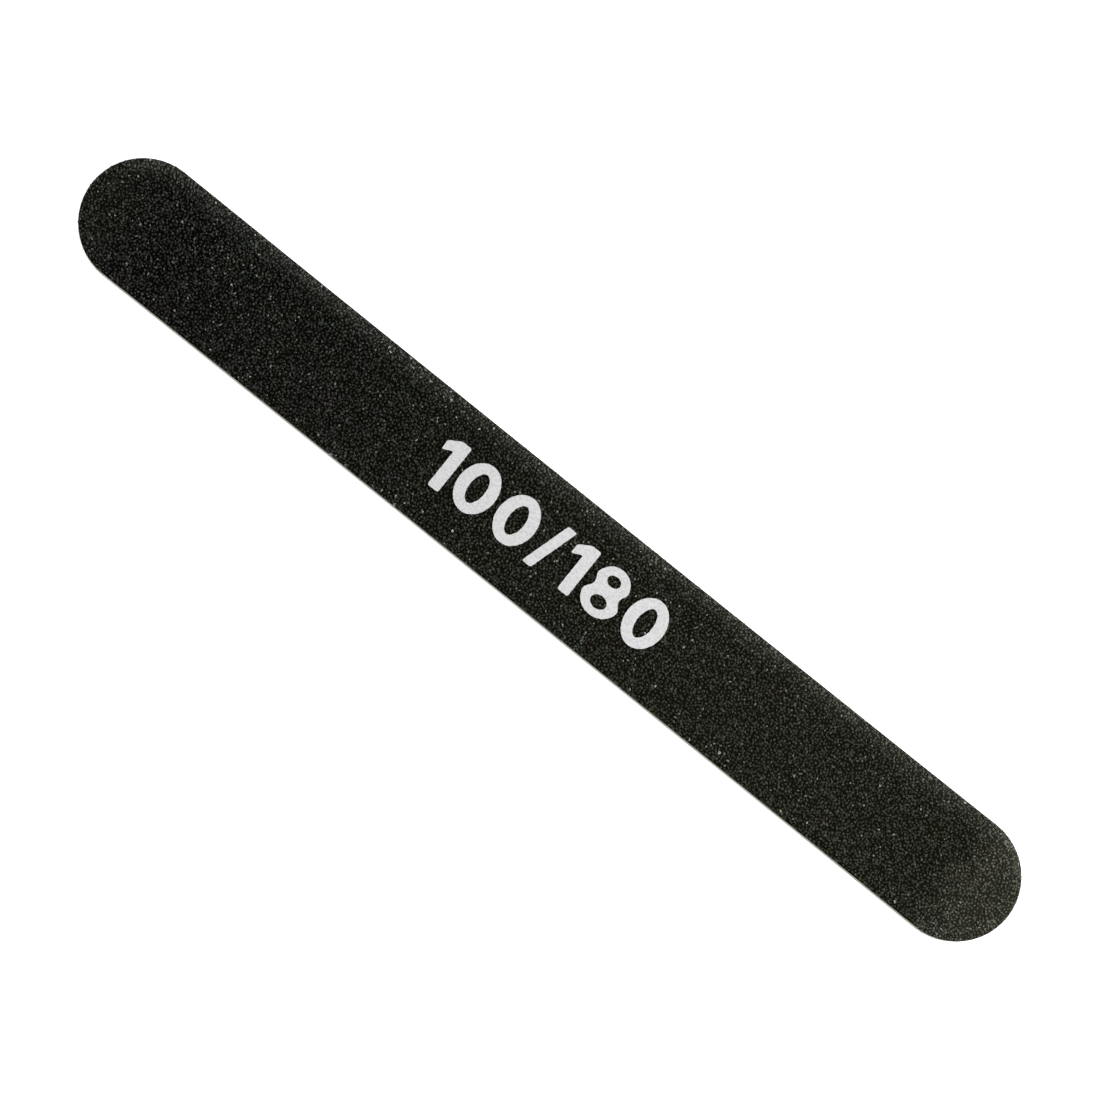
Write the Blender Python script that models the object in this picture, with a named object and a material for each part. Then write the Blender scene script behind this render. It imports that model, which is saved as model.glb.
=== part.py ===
"""Double-sided cushioned nail file.

A stiff plastic strip lies between two foam cushions, and each cushion is faced with abrasive
paper. The layers are glued into one sandwich and die-cut together, so they share one outline.
The die presses the rim: the papers roll down over the foam, and the foam's cut wall is drawn in.
Length runs along X and width along Y. The board lies on its fine face at height zero.
"""

import math

import bmesh
import bpy
from mathutils import Matrix

MM = 0.001

# Outline, seen from above
BOARD_LENGTH = 178.0 * MM
END_WIDTH = 19.8 * MM
WAIST_DEPTH = 0.17 * MM  # what each long side draws in at mid-length

# Rim, as the cutting die leaves it
ROLL_WIDTH = 1.8 * MM
ROLL_DROP = 0.35 * MM
FOAM_WALL_DRAW = 0.12 * MM  # what a cushion's wall draws in at half its height

# Thickness of each layer, from the core outwards
CORE_THICKNESS = 1.0 * MM
CORE_GLUE_THICKNESS = 0.05 * MM
FOAM_THICKNESS = 1.0 * MM
PAPER_GLUE_THICKNESS = 0.05 * MM
PAPER_THICKNESS = 0.18 * MM
RESIN_THICKNESS = 0.05 * MM
COARSE_GRIT_THICKNESS = 0.16 * MM
FINE_GRIT_THICKNESS = 0.09 * MM
SEATING_GAP = 0.01 * MM  # between each layer and the next

# Facets
END_STEPS = 24
SIDE_STEPS = 8
ROLL_STEPS = 4
WALL_STEPS = 4
SMOOTH_BELOW = math.radians(30.0)

# Finishes: linear colour, roughness, metallic
FINISHES = {
    "coarse_grit": ((0.017, 0.018, 0.014), 0.55, 0.0),
    "fine_grit": ((0.022, 0.023, 0.019), 0.60, 0.0),
    "resin": ((0.012, 0.012, 0.010), 0.30, 0.0),
    "backing_paper": ((0.045, 0.042, 0.036), 0.85, 0.0),
    "glue": ((0.62, 0.55, 0.42), 0.40, 0.0),
    "foam": ((0.78, 0.73, 0.62), 0.90, 0.0),
    "core_plastic": ((0.83, 0.82, 0.78), 0.45, 0.0),
}


def clear_scene():
    """Removes what a new file starts with."""
    for thing in list(bpy.data.objects):
        bpy.data.objects.remove(thing, do_unlink=True)


def finish_named(name):
    """The material of this name, made once."""
    if name in bpy.data.materials:
        return bpy.data.materials[name]
    colour, roughness, metallic = FINISHES[name]
    material = bpy.data.materials.new(name)
    material.use_nodes = True
    shader = material.node_tree.nodes["Principled BSDF"]
    shader.inputs["Base Color"].default_value = (*colour, 1.0)
    shader.inputs["Roughness"].default_value = roughness
    shader.inputs["Metallic"].default_value = metallic
    material.diffuse_color = (*colour, 1.0)
    return material


def outline():
    """Points round the board: a round end, then the long side after it, once for each end."""
    end_radius = END_WIDTH / 2
    end_centre = BOARD_LENGTH / 2 - end_radius
    points = []
    for turn in (1, -1):
        for step in range(END_STEPS):
            angle = math.pi * (step / END_STEPS - 0.5)
            x = end_centre + end_radius * math.cos(angle)
            y = end_radius * math.sin(angle)
            points.append((turn * x, turn * y))
        for step in range(SIDE_STEPS):
            along_share = 1 - 2 * step / SIDE_STEPS
            y = end_radius - WAIST_DEPTH * (1 - along_share**2)
            points.append((turn * end_centre * along_share, turn * y))
    return points


def roll_rises():
    """(inset, rise) of each step over the rolled rim, an arc from the cut edge up to the flat."""
    radius = (ROLL_WIDTH**2 + ROLL_DROP**2) / (2 * ROLL_DROP)
    steepest = math.asin(ROLL_WIDTH / radius)
    slopes = [steepest * (1 - step / ROLL_STEPS) for step in range(ROLL_STEPS + 1)]
    return [
        (
            radius * (math.sin(outer) - math.sin(inner)),
            radius * (math.cos(inner) - math.cos(outer)),
        )
        for outer, inner in zip(slopes, slopes[1:])
    ]


def outline_face(shape, height):
    """One face the size of the board, facing up."""
    face = shape.faces.new([shape.verts.new((x, y, height)) for x, y in outline()])
    face.normal_update()
    return face


def rolled_face(shape, height):
    """A face whose flat lies at this height and whose rim rolls down to the cut edge."""
    face = outline_face(shape, height - ROLL_DROP)
    for inset, rise in roll_rises():
        bmesh.ops.inset_region(
            shape,
            faces=[face],
            thickness=inset,
            depth=rise,
            use_boundary=True,
            use_even_offset=True,
        )


def extruded_corners(shape):
    """Closes the sheet into a solid of no thickness, and gives the corners of its seat."""
    made = bmesh.ops.extrude_face_region(shape, geom=shape.faces[:])
    return [item for item in made["geom"] if isinstance(item, bmesh.types.BMVert)]


def flat_layer(shape, thickness):
    """A plate with both faces flat, on a seat at height zero."""
    outline_face(shape, thickness)
    for corner in extruded_corners(shape):
        corner.co.z = 0


def rolled_layer(shape, thickness):
    """A sheet of even thickness, rolled down all round, whose flat seat lies at height zero."""
    rolled_face(shape, thickness)
    bmesh.ops.translate(shape, verts=extruded_corners(shape), vec=(0, 0, -thickness))


def cushion_layer(shape, thickness):
    """A cushion with a flat seat, a face that rolls down, and a cut wall that is drawn in."""
    rolled_face(shape, thickness)
    for corner in extruded_corners(shape):
        corner.co.z = 0
    draw_wall_in(shape, thickness - ROLL_DROP)


def draw_wall_in(shape, wall_height):
    """Hollows the wall in a shallow curve, deepest at half its height."""
    upright = [
        edge
        for edge in shape.edges
        if edge.verts[0].co.xy == edge.verts[1].co.xy and len(edge.link_faces) == 2
    ]
    made = bmesh.ops.subdivide_edges(shape, edges=upright, cuts=WALL_STEPS - 1)
    rows = [item for item in made["geom_inner"] if isinstance(item, bmesh.types.BMVert)]
    bmesh.ops.recalc_face_normals(shape, faces=shape.faces)
    moves = []
    for corner in rows:
        height_share = corner.co.z / wall_height
        depth = FOAM_WALL_DRAW * 4 * height_share * (1 - height_share)
        moves.append((corner, corner.normal * depth))
    for corner, move in moves:
        corner.co -= move


def place_layer(name, finish, build, thickness, seat_height, facing, board):
    """Makes one layer on its seat: facing is 1 above the core and -1 below it."""
    shape = bmesh.new()
    build(shape, thickness)
    # Below the core the layer is the same one turned over about the board's length.
    bmesh.ops.transform(shape, matrix=Matrix.Diagonal((1, facing, facing, 1)), verts=shape.verts)
    bmesh.ops.recalc_face_normals(shape, faces=shape.faces)
    mesh = bpy.data.meshes.new(name)
    shape.to_mesh(mesh)
    shape.free()
    mesh.shade_smooth()
    mesh.set_sharp_from_angle(angle=SMOOTH_BELOW)
    mesh.materials.append(finish_named(finish))
    layer = bpy.data.objects.new(name, mesh)
    layer.location.z = seat_height
    layer.parent = board
    board.users_collection[0].objects.link(layer)


def layers_over_core(grit, grit_thickness):
    """(name, finish, way it is built, thickness) of each layer on one side, core outwards."""
    return [
        ("core_adhesive", "glue", flat_layer, CORE_GLUE_THICKNESS),
        ("foam_cushion", "foam", cushion_layer, FOAM_THICKNESS),
        ("paper_adhesive", "glue", rolled_layer, PAPER_GLUE_THICKNESS),
        ("backing_paper", "backing_paper", rolled_layer, PAPER_THICKNESS),
        ("resin_coat", "resin", rolled_layer, RESIN_THICKNESS),
        ("grit_coat", grit, rolled_layer, grit_thickness),
    ]


def build_board():
    """Stacks both sides on the core."""
    collection = bpy.data.collections.new("Nail file")
    bpy.context.scene.collection.children.link(collection)
    board = bpy.data.objects.new("nail_file", None)
    collection.objects.link(board)

    upper = layers_over_core("coarse_grit", COARSE_GRIT_THICKNESS)
    lower = layers_over_core("fine_grit", FINE_GRIT_THICKNESS)
    core_seat = sum(thickness + SEATING_GAP for *_, thickness in lower)
    place_layer("core_strip", "core_plastic", flat_layer, CORE_THICKNESS, core_seat, 1, board)

    height = core_seat + CORE_THICKNESS
    for kind, finish, build, thickness in upper:
        height += SEATING_GAP
        place_layer("upper_" + kind, finish, build, thickness, height, 1, board)
        height += thickness

    height = core_seat
    for kind, finish, build, thickness in lower:
        height -= SEATING_GAP
        place_layer("lower_" + kind, finish, build, thickness, height, -1, board)
        height -= thickness


clear_scene()
build_board()
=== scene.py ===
"""Looks of the cushioned nail file: loose grain on both faces, cut foam and core, ink and stage.

Length runs along X and width along Y. The coarse face is up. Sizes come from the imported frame
and from the settings below, in metres.
"""

import math

import bmesh
import bpy
from bpy.props import FloatProperty, FloatVectorProperty, IntProperty, PointerProperty
from mathutils import Matrix, Vector, noise


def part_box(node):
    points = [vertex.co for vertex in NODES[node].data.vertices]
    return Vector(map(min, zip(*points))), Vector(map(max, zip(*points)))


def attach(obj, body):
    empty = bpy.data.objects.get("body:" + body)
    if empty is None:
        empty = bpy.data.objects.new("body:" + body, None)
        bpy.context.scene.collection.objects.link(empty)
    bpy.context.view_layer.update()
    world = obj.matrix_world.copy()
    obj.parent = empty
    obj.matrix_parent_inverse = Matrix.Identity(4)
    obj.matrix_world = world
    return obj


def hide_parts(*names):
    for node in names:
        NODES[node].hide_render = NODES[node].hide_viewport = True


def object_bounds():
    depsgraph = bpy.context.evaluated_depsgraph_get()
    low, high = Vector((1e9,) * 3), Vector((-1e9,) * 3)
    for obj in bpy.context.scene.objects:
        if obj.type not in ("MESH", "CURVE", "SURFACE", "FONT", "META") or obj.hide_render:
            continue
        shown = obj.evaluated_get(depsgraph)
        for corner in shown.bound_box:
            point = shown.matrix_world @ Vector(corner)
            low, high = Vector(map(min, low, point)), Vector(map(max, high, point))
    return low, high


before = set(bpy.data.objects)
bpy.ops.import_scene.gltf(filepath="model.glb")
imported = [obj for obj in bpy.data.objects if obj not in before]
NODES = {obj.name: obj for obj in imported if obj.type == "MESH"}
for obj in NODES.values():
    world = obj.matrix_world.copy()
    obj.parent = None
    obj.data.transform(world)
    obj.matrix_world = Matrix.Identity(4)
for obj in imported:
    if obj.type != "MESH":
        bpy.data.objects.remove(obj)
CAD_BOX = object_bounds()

bl_info = {
    "name": "Nail File",
    "version": (1, 0, 0),
    "blender": (4, 5, 0),
    "location": "3D View > Sidebar > Nail File",
    "description": "Dresses a cushioned nail file: grain, foam, core, ink and a studio stage",
    "category": "Object",
}

MM = 0.001
BODY = "root"

# Where the photograph shows the board, in its pixels
PHOTO_SIDE_PX = 1100
BOARD_LENGTH_PX = 1174.5
BOARD_MIDDLE_PX = (550.3, 549.2)
BOARD_SLOPE = math.radians(38.78)  # how far its length runs down to the right

WELD = 0.001 * MM  # corners nearer to each other than this are one
LEVEL = 0.01 * MM  # corners that differ less than this along one axis lie level
LEAST_RISE = 0.5  # Z of a face's normal, over which the face looks up
SHARP_ANGLE = math.radians(40)


def label(key):
    """A key as a person would read it."""
    return key.replace("_", " ").capitalize()


def length(name, description, default):
    """A size that a user may change."""
    return FloatProperty(
        name=name,
        description=description,
        default=default,
        precision=5,
        subtype="DISTANCE",
        unit="LENGTH",
    )


def colour(name, description, default):
    """A colour that a user may change."""
    return FloatVectorProperty(
        name=name,
        description=description,
        default=default,
        size=3,
        min=0.0,
        max=1.0,
        subtype="COLOR",
    )


def share(name, description, default, most=1.0):
    """A number from nought to one, or to the most given, that a user may change."""
    return FloatProperty(name=name, description=description, default=default, min=0.0, max=most)


def amount(name, description, default):
    """A number of nought or more that a user may change."""
    return share(name, description, default, 1000.0)


def count(name, description, default):
    """A whole number of one or more that a user may change."""
    return IntProperty(name=name, description=description, default=default, min=1)


# Sizes that the frame holds


def corners_of(node):
    """The corner points of a packed layer."""
    return [corner.co for corner in NODES[node].data.vertices]


def cut_edge(node):
    """(lowest, highest) height of a layer's cut edge, read at its right-hand tip."""
    points = corners_of(node)
    tip = max(point.x for point in points)
    heights = [point.z for point in points if tip - point.x < LEVEL]
    return min(heights), max(heights)


def half_width_at_middle(node):
    """Half the width of a layer at the middle of its length."""
    middle = min(abs(point.x) for point in corners_of(node))
    return max(point.y for point in corners_of(node) if abs(point.x) < middle + LEVEL)


def flat_margin(node, facing):
    """How far in from its tip the flat of a rolled layer starts."""
    points = corners_of(node)
    height = max(facing * point.z for point in points)
    flat = [point.x for point in points if height - facing * point.z < WELD]
    return max(point.x for point in points) - max(flat)


HALF_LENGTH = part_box("core_strip")[1].x
END_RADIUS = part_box("core_strip")[1].y
WAIST_DEPTH = END_RADIUS - half_width_at_middle("core_strip")
BOARD_HEIGHT = CAD_BOX[1].z


# Settings

GRIT_PROPERTIES = (
    (length, "spacing", "Least distance between grains"),
    (length, "smallest", "Radius of the smallest grain"),
    (length, "largest", "Radius of the largest grain"),
    (length, "standing", "Mean height of a grain's middle over the resin"),
    (length, "uneven", "How far a grain sits above or below that"),
    (length, "crest", "How far a grain's point may stand over the grit's mean"),
    (length, "rim", "Width along the cut where no grain has its middle"),
    (length, "overhang", "How far a sheared grain may stand past the cut"),
    (count, "pieces", "Lengths it is laid in"),
    (count, "seed", "Start of the random placing"),
    (colour, "body", "Colour of a middling grain"),
    (amount, "contrast", "Brightness of a pale facet over that of a deep one"),
    (share, "facets", "How much of that differs from facet to facet of a grain"),
    # Painted glints: the palest share of tones is blended towards a pale colour, in place of
    # facets that catch the light
    (colour, "bright", "Colour of the palest facets"),
    (share, "bright_share", "Share of tones that are pale"),
    # The haze and tip colours lighten the grit towards the right and at its tips, and veil evens
    # out its tones towards the right
    (colour, "haze", "Dust that thickens towards the right tip"),
    (share, "veil", "How far that dust evens out the tones of the grains"),
    (colour, "left_tip", "Dust on the left tip"),
    (colour, "right_tip", "Dust on the right tip"),
    # Painted highlight: a pale colour along the far long side, where the rolled rim faces the
    # light
    (colour, "far_rim", "Dust along the far long side"),
)


def grit_properties(**defaults):
    """The properties of one face's grit, with these defaults."""
    return {
        key: kind(label(key), description, defaults[key])
        for kind, key, description in GRIT_PROPERTIES
    }


class CoarseGritSettings(bpy.types.PropertyGroup):
    """The upper face"""

    __annotations__ = grit_properties(
        spacing=0.39 * MM,
        smallest=0.228 * MM,
        largest=0.308 * MM,
        standing=-0.045 * MM,
        uneven=0.03 * MM,
        crest=0.08 * MM,
        rim=0.14 * MM,
        overhang=0.05 * MM,
        pieces=3,
        seed=4,
        body=(0.0377, 0.0387, 0.0346),
        contrast=6.8,
        facets=0.45,
        # Painted glints on the palest facets
        bright=(0.46, 0.47, 0.44),
        bright_share=0.12,
        haze=(0.0088, 0.0093, 0.0023),
        veil=0.30,
        left_tip=(0.0150, 0.0154, 0.0090),
        right_tip=(0.0440, 0.0442, 0.0330),
        # Painted highlight along the far rim, where it faces the light
        far_rim=(0.0453, 0.0464, 0.0400),
    )


class FineGritSettings(bpy.types.PropertyGroup):
    """The lower face"""

    __annotations__ = grit_properties(
        spacing=0.21 * MM,
        smallest=0.075 * MM,
        largest=0.13 * MM,
        standing=0.02 * MM,
        uneven=0.012 * MM,
        crest=0.02 * MM,
        rim=0.10 * MM,
        overhang=0.02 * MM,
        pieces=4,
        seed=9,
        body=(0.0375, 0.0388, 0.0343),
        contrast=16.0,
        facets=0.30,
        # Painted glints on the palest facets
        bright=(0.190, 0.194, 0.180),
        bright_share=0.04,
        haze=(0.0, 0.0, 0.0),
        veil=0.0,
        left_tip=(0.0090, 0.0090, 0.0075),
        right_tip=(0.0090, 0.0090, 0.0075),
        # Painted highlight along the far rim, where it faces the light
        far_rim=(0.0040, 0.0040, 0.0034),
    )


class FoamSettings(bpy.types.PropertyGroup):
    """The two cushions"""

    draw: length("Wall draw", "How far the cut wall is drawn in at half its height", 0.12 * MM)
    row: length("Row", "Height of a row of faces on the wall", 0.08 * MM)
    cell: length("Cell", "Width of a cut bubble", 0.22 * MM)
    pit: length("Pit", "Depth of a cut bubble", 0.05 * MM)
    tint: colour("Foam", "Colour of the foam", (0.75, 0.70, 0.50))
    # Painted shade: a darker copy of the foam's colour, laid in the cut bubbles that the wall's
    # pits sink
    shade: colour("Bubble", "Colour inside a cut bubble", (0.46, 0.40, 0.27))


class CoreSettings(bpy.types.PropertyGroup):
    """The stiff strip"""

    row: length("Row", "Height of a row of faces on the wall", 0.125 * MM)
    tear: length("Tear", "Depth of the marks that the die leaves", 0.018 * MM)
    tint: colour("Plastic", "Colour of the strip", (0.78, 0.765, 0.69))


class SheetSettings(bpy.types.PropertyGroup):
    """Papers, adhesive films and resin coats"""

    paper: colour("Paper", "Colour of the backing paper", (0.030, 0.028, 0.024))
    fibre: colour("Fibre", "Colour of torn fibres at its cut", (0.14, 0.125, 0.10))
    adhesive: colour("Adhesive", "Colour of the adhesive films", (0.60, 0.49, 0.32))
    resin: colour("Resin", "Colour of the bonding resin", (0.0016, 0.0018, 0.0011))


class PrintSettings(bpy.types.PropertyGroup):
    """The grade numbers"""

    height: length("Height", "Height of a numeral", 8.4 * MM)
    span: length("Span", "Length of the whole mark", 44.0 * MM)
    along: length("Along", "How far the mark sits past mid-length", -0.45 * MM)
    across: length("Across", "How far it sits past the middle line", 0.20 * MM)
    proud: length("Proud", "How far the ink stands over the grit's mean height", 0.090 * MM)
    grid: length("Grid", "Width of a face of the ink film", 0.16 * MM)
    ripple: length("Ripple", "How far the film follows the grain", 0.010 * MM)
    waver: length("Waver", "How far its outline strays as the ink creeps", 0.05 * MM)
    ink: colour("Ink", "Colour of the ink", (0.806, 0.799, 0.806))


class StageSettings(bpy.types.PropertyGroup):
    """Camera, floor and lights"""

    distance: length("Distance", "From the camera to the board", 0.9)
    lean: FloatProperty(
        name="Lean",
        description="How far the camera leans towards the side that shows its cut wall",
        default=math.radians(5.0),
        subtype="ANGLE",
        unit="ROTATION",
    )
    floor: colour("Floor", "Colour of the floor", (0.50, 0.50, 0.50))
    glow: amount("Glow", "Light that the floor gives the board, as a light table does", 0.70)
    shine: amount("Shine", "Light that the camera sees the floor give off", 1.0)
    key: amount("Key", "Power of the key light in watts", 4.6)
    fill: amount("Fill", "Strength of the soft light from above", 0.4)
    surroundings: amount("Surroundings", "Strength of the room's own light", 0.06)


class NailFileSettings(bpy.types.PropertyGroup):
    """All settings of the nail file"""

    coarse: PointerProperty(type=CoarseGritSettings, name="Coarse grit")
    fine: PointerProperty(type=FineGritSettings, name="Fine grit")
    foam: PointerProperty(type=FoamSettings, name="Foam")
    core: PointerProperty(type=CoreSettings, name="Core")
    sheets: PointerProperty(type=SheetSettings, name="Sheets")
    mark: PointerProperty(type=PrintSettings, name="Print")
    stage: PointerProperty(type=StageSettings, name="Stage")


# Node trees

COLOUR, NUMBER, VECTOR = "NodeSocketColor", "NodeSocketFloat", "NodeSocketVector"
GEOMETRY = "NodeSocketGeometry"
BLACK = (0.0, 0.0, 0.0, 1.0)
WHITE = (1.0, 1.0, 1.0, 1.0)


def tree_of(values):
    """The node tree that the sockets among these values lie in."""
    return next(value.id_data for value in values if isinstance(value, bpy.types.NodeSocket))


def plug(socket, value):
    """Gives an input another socket's value or a plain one."""
    if isinstance(value, bpy.types.NodeSocket):
        socket.id_data.links.new(value, socket)
    else:
        socket.default_value = value


def add(kind, inputs=(), tree=None, **settings):
    """Adds a node. Each input is named, or numbered, and takes a socket or a plain value.

    The node joins the tree of the sockets that it takes, or the given one.
    """
    inputs = dict(inputs)
    node = (tree or tree_of(inputs.values())).nodes.new(kind)
    for name, value in settings.items():
        setattr(node, name, value)
    for name, value in inputs.items():
        plug(node.inputs[name], value)
    return node


def maths(operation, *values, clamp=False):
    """The result of a Math node."""
    inputs = enumerate(values)
    return add("ShaderNodeMath", inputs, operation=operation, use_clamp=clamp).outputs[0]


def vector_maths(operation, *values):
    """The vector that a Vector Math node gives."""
    return add("ShaderNodeVectorMath", enumerate(values), operation=operation).outputs[0]


def scaled(vector, factor):
    """A vector times a number."""
    return add("ShaderNodeVectorMath", {0: vector, "Scale": factor}, operation="SCALE").outputs[0]


def axes_of(vector):
    """The X, Y and Z of a vector."""
    return add("ShaderNodeSeparateXYZ", {0: vector}).outputs


def first_channel(rgb):
    """The red of a colour."""
    return add("ShaderNodeSeparateColor", {0: rgb}).outputs[0]


def ramp(value, low, high, to_low=0.0, to_high=1.0, smooth=True):
    """Carries a value from one range to another, held at its ends."""
    names = ("Value", "From Min", "From Max", "To Min", "To Max")
    inputs = zip(names, (value, low, high, to_low, to_high))
    shape = "SMOOTHSTEP" if smooth else "LINEAR"
    return add("ShaderNodeMapRange", inputs, interpolation_type=shape).outputs["Result"]


def blended(factor, first, second, blend_type="MIX"):
    """Two colours mixed."""
    inputs = {0: factor, 6: first, 7: second}
    return add("ShaderNodeMix", inputs, data_type="RGBA", blend_type=blend_type).outputs[2]


def per_metre(size):
    """How many times a size, plain or from a socket, goes into a metre."""
    if isinstance(size, bpy.types.NodeSocket):
        return maths("DIVIDE", 1.0, size)
    return 1 / size


def clouds(place, size, detail, roughness=0.5):
    """The outputs of a Noise texture whose clouds have this size."""
    names = ("Vector", "Scale", "Detail", "Roughness")
    inputs = zip(names, (place, per_metre(size), detail, roughness))
    return add("ShaderNodeTexNoise", inputs).outputs


def cells(place, size):
    """The outputs of a Voronoi texture whose cells have this size."""
    return add("ShaderNodeTexVoronoi", {"Vector": place, "Scale": per_metre(size)}).outputs


def opaque(rgb):
    """A colour with its alpha."""
    return (*rgb, 1.0)


def new_tree(name, kind, inputs, outputs):
    """An empty node group, and its inputs. Each socket is given by its type or its default."""
    tree = bpy.data.node_groups.new(name, kind)
    types = {float: NUMBER, tuple: COLOUR}
    for direction, sockets in (("INPUT", inputs), ("OUTPUT", outputs)):
        for socket_name, given in sockets.items():
            socket = tree.interface.new_socket(
                name=socket_name, in_out=direction, socket_type=types.get(type(given), given)
            )
            if type(given) in types:
                socket.default_value = given
    return tree, tree.nodes.new("NodeGroupInput").outputs


def shared(name, build):
    """The node group of this name, built on first use."""
    return bpy.data.node_groups.get(name) or build(name)


def group(name, build, inputs):
    """Places a shared node group in a tree and gives its outputs."""
    return add("ShaderNodeGroup", inputs, node_tree=shared(name, build)).outputs


def new_material(name):
    """A material and the Object coordinates in its node tree."""
    material = bpy.data.materials.new(name)
    material.use_nodes = True
    return material, material.node_tree.nodes.new("ShaderNodeTexCoord").outputs["Object"]


def complete(material, tint, roughness, specular=0.5, bumps=None, others=()):
    """Gives a material its colour, its sheen, and bumps of this (height, strength, depth)."""
    inputs = {"Base Color": tint, "Roughness": roughness, "Specular IOR Level": specular}
    inputs.update(others)
    if bumps:
        bump = add("ShaderNodeBump", zip(("Height", "Strength", "Distance"), bumps))
        inputs["Normal"] = bump.outputs[0]
    shader = material.node_tree.nodes["Principled BSDF"]
    for name, value in inputs.items():
        plug(shader.inputs[name], value)
    return material


def build_grain_colour(name):
    """Colour and roughness of a grain by its own random tone, in cloudy casts of colour, with
    painted glints on its palest facets.
    """
    tree, given = new_tree(
        name,
        "ShaderNodeTree",
        {
            "Place": VECTOR,
            "Tone": 0.5,
            "Body": BLACK,
            "Contrast": 10.0,
            "Bright": BLACK,
            "Bright share": 0.1,
            "Cast size": 3.5 * MM,
            "Cast": 0.17,
        },
        {"Color": COLOUR, "Depth": NUMBER, "Roughness": NUMBER},
    )
    tone = given["Tone"]
    # Equal steps of tone are equal ratios of brightness, so few grains are pale and many are deep.
    depth = maths("POWER", given["Contrast"], maths("SUBTRACT", tone, 0.5))
    grain = scaled(given["Body"], depth)
    # Painted glints: the top share of tones is blended towards the pale glint colour
    pale_from = maths("SUBTRACT", 1.0, given["Bright share"])
    grain = blended(ramp(tone, pale_from, 1.0, smooth=False), grain, given["Bright"])
    # The clouds' colour is a half on average, so twice that is one.
    cast = scaled(clouds(given["Place"], given["Cast size"], 2.0, 0.6)["Color"], 2.0)
    tinted = blended(given["Cast"], grain, cast, "MULTIPLY")
    rough = ramp(tone, 0.0, 1.0, 0.55, 0.30)
    add("NodeGroupOutput", {"Color": tinted, "Depth": depth, "Roughness": rough})
    return tree


def haze_depth(x):
    """How strongly the grit is lightened towards the right: nothing at the left tip, one on most
    of the right half.
    """
    return ramp(x, -HALF_LENGTH, 0.6 * HALF_LENGTH)


def build_lightening_and_sheen(name):
    """Colour added to grit: evenly as a haze that grows towards the right tip, and held by the
    grains at the tips and along the far rim, where it is a painted highlight of the rolled edge
    that faces the light.
    """
    tree, given = new_tree(
        name,
        "ShaderNodeTree",
        {
            "Place": VECTOR,
            "Haze": BLACK,
            "Left tip": BLACK,
            "Right tip": BLACK,
            "Far rim": BLACK,
            "Patch": 3.0 * MM,
            "Tip reach": 13.0 * MM,
            "Rim reach": 3.8 * MM,
            "Evenness": 0.3,
        },
        {"Even": COLOUR, "Held": COLOUR},
    )
    place = axes_of(given["Place"])
    patchy = clouds(given["Place"], given["Patch"], 3.0)["Fac"]
    sway = ramp(patchy, 0.3, 0.7, -2.0 * MM, 2.0 * MM, smooth=False)
    along = maths("ADD", place["X"], sway)
    inner = maths("SUBTRACT", HALF_LENGTH, given["Tip reach"])
    half_in = maths("MULTIPLY_ADD", given["Tip reach"], -0.5, HALF_LENGTH)
    right = ramp(along, inner, half_in)
    left = ramp(maths("MULTIPLY", along, -1.0), inner, HALF_LENGTH)
    # Distance from the middle line of the board, which ends at the centres of its round ends.
    beyond = maths("SUBTRACT", maths("ABSOLUTE", place["X"]), HALF_LENGTH - END_RADIUS)
    outward = maths("MAXIMUM", beyond, 0.0)
    across = maths("POWER", maths("ABSOLUTE", place["Y"]), 2.0)
    reach = maths("SQRT", maths("ADD", across, maths("POWER", outward, 2.0)))
    flat = maths("SUBTRACT", END_RADIUS, given["Rim reach"])
    # Painted highlight: the far long side, whose rolled rim faces the light, takes all of the far
    # rim's colour, the near side a twenty-fifth of it
    lit_side = ramp(maths("DIVIDE", place["Y"], reach), 0.3, 1.0, 0.04, 1.0)
    rim = maths("MULTIPLY", ramp(reach, flat, END_RADIUS), lit_side)
    tips = vector_maths("ADD", scaled(given["Left tip"], left), scaled(given["Right tip"], right))
    # The tips' colour and the far rim's painted highlight: a share is laid evenly, the rest is
    # held by the grains
    tips_and_rim_sheen = vector_maths("ADD", tips, scaled(given["Far rim"], rim))
    loose = scaled(tips_and_rim_sheen, given["Evenness"])
    haze = scaled(given["Haze"], haze_depth(place["X"]))
    even = vector_maths("ADD", haze, loose)
    held = vector_maths("SUBTRACT", tips_and_rim_sheen, loose)
    broken = ramp(patchy, 0.25, 0.75, 0.85, 1.15, smooth=False)
    add("NodeGroupOutput", {"Even": scaled(even, broken), "Held": scaled(held, broken)})
    return tree


def build_cut_marks(name):
    """Upright streaks that the die drags down a cut edge, and specks of black dust on it."""
    tree, given = new_tree(
        name,
        "ShaderNodeTree",
        {"Place": VECTOR, "Streak": 0.12 * MM, "Dust size": 0.10 * MM, "Dust": 0.3},
        {"Streaks": NUMBER, "Dust": NUMBER},
    )
    drawn_out = vector_maths("MULTIPLY", given["Place"], (1.0, 1.0, STREAK_RISE))
    streaks = clouds(drawn_out, given["Streak"], 3.0)["Fac"]
    specks = cells(given["Place"], given["Dust size"])
    least = maths("SUBTRACT", 1.0, given["Dust"])
    chosen = maths("GREATER_THAN", first_channel(specks["Color"]), least)
    speck = maths("MULTIPLY", ramp(specks["Distance"], 0.45, 0.25), chosen)
    add("NodeGroupOutput", {"Streaks": streaks, "Dust": speck})
    return tree


# Finishes

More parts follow.
